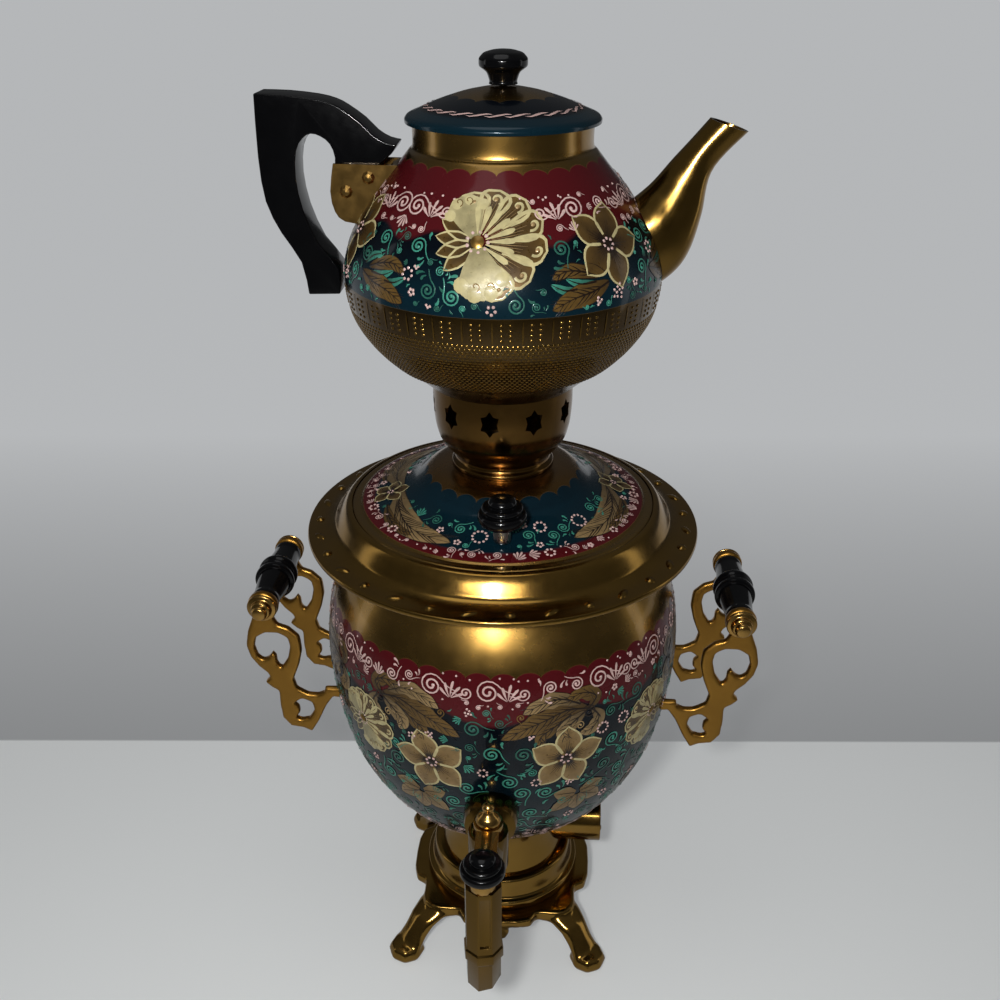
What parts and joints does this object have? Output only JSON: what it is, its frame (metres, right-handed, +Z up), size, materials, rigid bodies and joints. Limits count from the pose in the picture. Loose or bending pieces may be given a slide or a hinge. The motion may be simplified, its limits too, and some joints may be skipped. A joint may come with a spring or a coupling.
{
  "type": "electric samovar with teapot",
  "caption": "Electric samovar: bulbous painted water vessel on a footed pedestal with a plug-cock tap, scroll side handles, pierced crown and a matching brewing teapot on top.",
  "frame": {"origin": "on the table under the middle of the whole outline, tap and knobs included; the vessel's axis stands 28.7 mm behind it in +Y", "axes": "+Z up, the tap faces -Y, the teapot's spout points along +X and its handle along -X"},
  "size_m": [0.284, 0.2694, 0.5182],
  "materials": {
    "gold_metal": "warm gold-coloured metal, satin to polished",
    "bronze_metal": "dark bronze, polished",
    "brass": "turned brass, satin",
    "cast_brass": "cast, satin, orange-gold",
    "steel": "brushed",
    "painted_metal": "glossy lacquer over painted floral bands, dark teal ground",
    "black_plastic": "glossy black",
    "rubber": "matt",
    "insulator": "off-white heat-resistant insulator, matt"
  },
  "bodies": {
    "samovar": {"base_stand": "gold_metal", "foot_ring": "gold_metal", "pedestal": "gold_metal", "inlet_shroud": "gold_metal", "collar": "gold_metal", "tap_body": "gold_metal", "bottom_cover": "steel", "cover_screw_1": "steel", "cover_screw_2": "steel", "heater_tube": "steel", "grip_rod_left": "steel", "grip_rod_right": "steel", "inlet_insulator": "insulator", "inlet_pin_front": "brass", "inlet_pin_rear": "brass", "heater_flange": "brass", "heater_nut": "brass", "end_cap_left_front": "brass", "end_cap_left_rear": "brass", "end_cap_right_front": "brass", "end_cap_right_rear": "brass", "saddle_nut_left_front": "brass", "saddle_nut_left_rear": "brass", "saddle_nut_right_front": "brass", "saddle_nut_right_rear": "brass", "tap_locknut": "brass", "handle_bracket_left_front": "cast_brass", "handle_bracket_left_rear": "cast_brass", "handle_bracket_right_front": "cast_brass", "handle_bracket_right_rear": "cast_brass", "heater_gasket": "rubber", "tap_gasket": "rubber", "grip_left": "black_plastic", "grip_right": "black_plastic", "vessel": "painted_metal"},
    "tap_key": {"tap_plug": "brass", "tap_lever": "brass", "tap_finial": "brass", "tap_knob": "black_plastic", "plug_washer": "brass", "plug_nut": "brass"},
    "samovar_lid": {"lid": "painted_metal", "knob_ferrule_front": "steel", "knob_ferrule_rear": "steel", "lid_knob_front": "black_plastic", "lid_knob_rear": "black_plastic", "lid_knob_nut_front": "brass", "lid_knob_nut_rear": "brass"},
    "crown_ring": {"crown": "bronze_metal"},
    "teapot": {"teapot_body": "painted_metal", "teapot_spout": "gold_metal", "tea_strainer": "brass", "teapot_handle": "black_plastic", "teapot_handle_bracket": "brass", "handle_rivet_1": "brass", "handle_rivet_2": "brass"},
    "pot_lid": {"teapot_lid": "painted_metal", "teapot_lid_knob": "black_plastic", "teapot_lid_nut": "brass"}
  },
  "joints": [
    {"name": "tap_turn", "type": "hinge", "parent": "samovar", "child": "tap_key", "pos_m": [0, -0.0873, 0.15], "axis": [0, 0, 1], "range_deg": [0, 90]},
    {"name": "lid_lift", "type": "slide", "parent": "samovar", "child": "samovar_lid", "axis": [0, 0, 1], "range_m": [0, 0.06]},
    {"name": "crown_lift", "type": "slide", "parent": "samovar_lid", "child": "crown_ring", "axis": [0, 0, 1], "range_m": [0, 0.04]},
    {"name": "teapot_lift", "type": "slide", "parent": "crown_ring", "child": "teapot", "axis": [0, 0, 1], "range_m": [0, 0.06]},
    {"name": "pot_lid_lift", "type": "slide", "parent": "teapot", "child": "pot_lid", "axis": [0, 0, 1], "range_m": [0, 0.05]}
  ]
}
